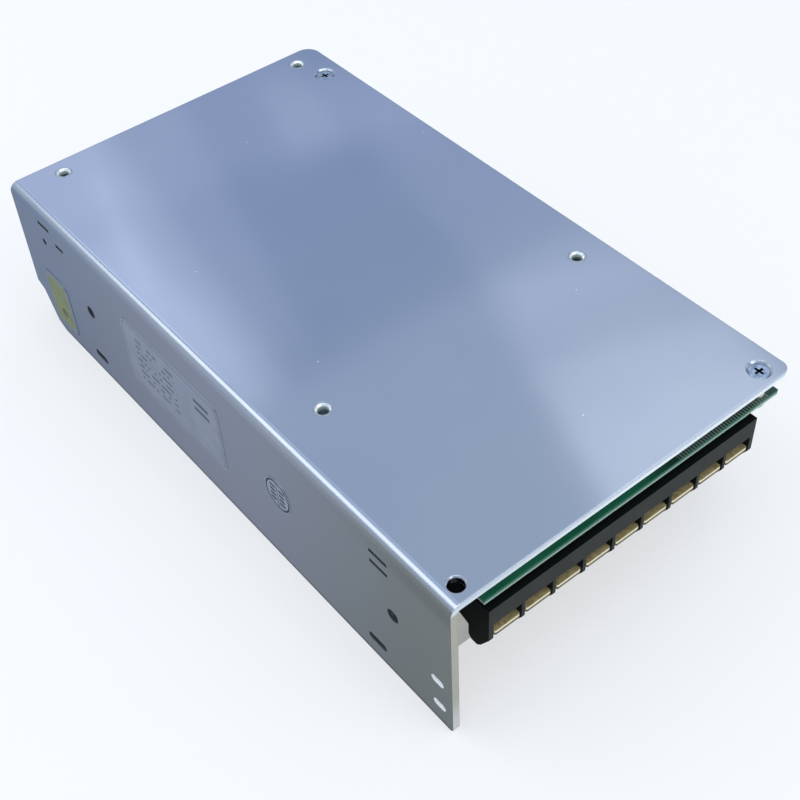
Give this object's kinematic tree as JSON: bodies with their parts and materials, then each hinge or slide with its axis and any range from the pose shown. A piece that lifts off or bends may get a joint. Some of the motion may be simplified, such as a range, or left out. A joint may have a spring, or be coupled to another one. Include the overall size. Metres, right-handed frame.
{
  "type": "led power supply",
  "caption": "Enclosed switching LED power supply: folded aluminium base plate and wall, perforated steel cover, barrier terminals with backed-out clamp screws",
  "frame": {"origin": "middle of the object's box, on its lowest face: the cover's flat face", "axes": "+Z out of the mounting plate, +Y from the terminal end to the rear, +X from the folded side wall to the cover's side"},
  "size_m": [0.1101, 0.199, 0.05],
  "materials": {
    "chassis_aluminium": "satin",
    "cover_steel": "satin",
    "fastener_steel": "satin",
    "standoff_nickel": "satin",
    "insulation_film": "matte",
    "board_laminate": "satin",
    "terminal_resin": "matte",
    "contact_plate_metal": "satin",
    "wire_clamp_brass": "satin",
    "trimmer_case": "gloss",
    "trimmer_rotor_plastic": "matte",
    "indicator_lens": "gloss",
    "fuse_glass": "gloss",
    "fuse_metal": "satin",
    "film_capacitor_case": "gloss",
    "disc_capacitor_coat": "gloss",
    "limiter_coat": "gloss",
    "ferrite": "matte",
    "enamelled_copper": "gloss",
    "device_resin": "matte",
    "capacitor_sleeve": "gloss",
    "winding_tape": "gloss",
    "coated_core": "gloss",
    "bar_aluminium": "satin",
    "insulator_pad": "matte",
    "label_film": "satin",
    "seal_film": "matte"
  },
  "bodies": {
    "case": {"chassis": "chassis_aluminium", "cover": "cover_steel", "standoffs": "standoff_nickel", "corner_spacer": "standoff_nickel", "plate_screws": "fastener_steel", "side_screw": "fastener_steel", "board_screws": "fastener_steel", "insulation_sheet": "insulation_film", "circuit_board": "board_laminate", "terminal_block": "terminal_resin", "terminal_plates": "contact_plate_metal", "trimmer_body": "trimmer_case", "indicator_led": "indicator_lens", "fuse_tube": "fuse_glass", "fuse_clips": "fuse_metal", "x_capacitor": "film_capacitor_case", "y_capacitors": "disc_capacitor_coat", "filter_choke_core": "ferrite", "filter_choke_windings": "enamelled_copper", "inrush_limiter": "limiter_coat", "bridge_rectifier": "device_resin", "bulk_capacitors": "capacitor_sleeve", "transformer_core": "ferrite", "transformer_winding": "winding_tape", "drive_transformer": "ferrite", "output_choke_core": "coated_core", "output_choke_winding": "enamelled_copper", "output_capacitors": "capacitor_sleeve", "heat_spreader_bar": "bar_aluminium", "bar_screws": "fastener_steel", "switching_transistors": "device_resin", "rectifier_diodes": "device_resin", "insulator_pads": "insulator_pad", "clamp_strips": "cover_steel", "clamp_screws": "fastener_steel", "control_chip": "device_resin", "small_capacitors": "capacitor_sleeve", "rating_label": "label_film", "seal_sticker": "seal_film", "round_sticker": "label_film"},
    "clamp_1": {"terminal_clamp_1": "wire_clamp_brass"},
    "screw_1": {"terminal_screw_1": "fastener_steel"},
    "clamp_2": {"terminal_clamp_2": "wire_clamp_brass"},
    "screw_2": {"terminal_screw_2": "fastener_steel"},
    "clamp_3": {"terminal_clamp_3": "wire_clamp_brass"},
    "screw_3": {"terminal_screw_3": "fastener_steel"},
    "clamp_4": {"terminal_clamp_4": "wire_clamp_brass"},
    "screw_4": {"terminal_screw_4": "fastener_steel"},
    "clamp_5": {"terminal_clamp_5": "wire_clamp_brass"},
    "screw_5": {"terminal_screw_5": "fastener_steel"},
    "clamp_6": {"terminal_clamp_6": "wire_clamp_brass"},
    "screw_6": {"terminal_screw_6": "fastener_steel"},
    "clamp_7": {"terminal_clamp_7": "wire_clamp_brass"},
    "screw_7": {"terminal_screw_7": "fastener_steel"},
    "clamp_8": {"terminal_clamp_8": "wire_clamp_brass"},
    "screw_8": {"terminal_screw_8": "fastener_steel"},
    "clamp_9": {"terminal_clamp_9": "wire_clamp_brass"},
    "screw_9": {"terminal_screw_9": "fastener_steel"},
    "rotor": {"trimmer_rotor": "trimmer_rotor_plastic"}
  },
  "joints": [
    {"name": "clamp_1_slide", "type": "slide", "parent": "case", "child": "clamp_1", "axis": [0, 0, 1], "range_m": [0, 0.0024]},
    {"name": "screw_1_turn", "type": "hinge", "parent": "clamp_1", "child": "screw_1", "pos_m": [-0.03828, -0.0945, 0.028], "axis": [0, 0, 1], "range_deg": [0, 1440.1]},
    {"name": "clamp_2_slide", "type": "slide", "parent": "case", "child": "clamp_2", "axis": [0, 0, 1], "range_m": [0, 0.0024]},
    {"name": "screw_2_turn", "type": "hinge", "parent": "clamp_2", "child": "screw_2", "pos_m": [-0.02863, -0.0945, 0.028], "axis": [0, 0, 1], "range_deg": [0, 1440.1]},
    {"name": "clamp_3_slide", "type": "slide", "parent": "case", "child": "clamp_3", "axis": [0, 0, 1], "range_m": [0, 0.0024]},
    {"name": "screw_3_turn", "type": "hinge", "parent": "clamp_3", "child": "screw_3", "pos_m": [-0.01897, -0.0945, 0.028], "axis": [0, 0, 1], "range_deg": [0, 1440.1]},
    {"name": "clamp_4_slide", "type": "slide", "parent": "case", "child": "clamp_4", "axis": [0, 0, 1], "range_m": [0, 0.0024]},
    {"name": "screw_4_turn", "type": "hinge", "parent": "clamp_4", "child": "screw_4", "pos_m": [-0.00932, -0.0945, 0.028], "axis": [0, 0, 1], "range_deg": [0, 1440.1]},
    {"name": "clamp_5_slide", "type": "slide", "parent": "case", "child": "clamp_5", "axis": [0, 0, 1], "range_m": [0, 0.0024]},
    {"name": "screw_5_turn", "type": "hinge", "parent": "clamp_5", "child": "screw_5", "pos_m": [0.00032, -0.0945, 0.028], "axis": [0, 0, 1], "range_deg": [0, 1440.1]},
    {"name": "clamp_6_slide", "type": "slide", "parent": "case", "child": "clamp_6", "axis": [0, 0, 1], "range_m": [0, 0.0024]},
    {"name": "screw_6_turn", "type": "hinge", "parent": "clamp_6", "child": "screw_6", "pos_m": [0.00997, -0.0945, 0.028], "axis": [0, 0, 1], "range_deg": [0, 1440.1]},
    {"name": "clamp_7_slide", "type": "slide", "parent": "case", "child": "clamp_7", "axis": [0, 0, 1], "range_m": [0, 0.0024]},
    {"name": "screw_7_turn", "type": "hinge", "parent": "clamp_7", "child": "screw_7", "pos_m": [0.01963, -0.0945, 0.028], "axis": [0, 0, 1], "range_deg": [0, 1440.1]},
    {"name": "clamp_8_slide", "type": "slide", "parent": "case", "child": "clamp_8", "axis": [0, 0, 1], "range_m": [0, 0.0024]},
    {"name": "screw_8_turn", "type": "hinge", "parent": "clamp_8", "child": "screw_8", "pos_m": [0.02927, -0.0945, 0.028], "axis": [0, 0, 1], "range_deg": [0, 1440.1]},
    {"name": "clamp_9_slide", "type": "slide", "parent": "case", "child": "clamp_9", "axis": [0, 0, 1], "range_m": [0, 0.0024]},
    {"name": "screw_9_turn", "type": "hinge", "parent": "clamp_9", "child": "screw_9", "pos_m": [0.03893, -0.0945, 0.028], "axis": [0, 0, 1], "range_deg": [0, 1440.1]},
    {"name": "rotor_turn", "type": "hinge", "parent": "case", "child": "rotor", "pos_m": [0.04785, -0.0865, 0.036], "axis": [0, 0, 1], "range_deg": [-135, 135]}
  ],
  "couplings": [
    {"joint": "screw_1_turn", "follows": "clamp_1_slide", "rad_per_m": 10472},
    {"joint": "screw_2_turn", "follows": "clamp_2_slide", "rad_per_m": 10472},
    {"joint": "screw_3_turn", "follows": "clamp_3_slide", "rad_per_m": 10472},
    {"joint": "screw_4_turn", "follows": "clamp_4_slide", "rad_per_m": 10472},
    {"joint": "screw_5_turn", "follows": "clamp_5_slide", "rad_per_m": 10472},
    {"joint": "screw_6_turn", "follows": "clamp_6_slide", "rad_per_m": 10472},
    {"joint": "screw_7_turn", "follows": "clamp_7_slide", "rad_per_m": 10472},
    {"joint": "screw_8_turn", "follows": "clamp_8_slide", "rad_per_m": 10472},
    {"joint": "screw_9_turn", "follows": "clamp_9_slide", "rad_per_m": 10472}
  ]
}
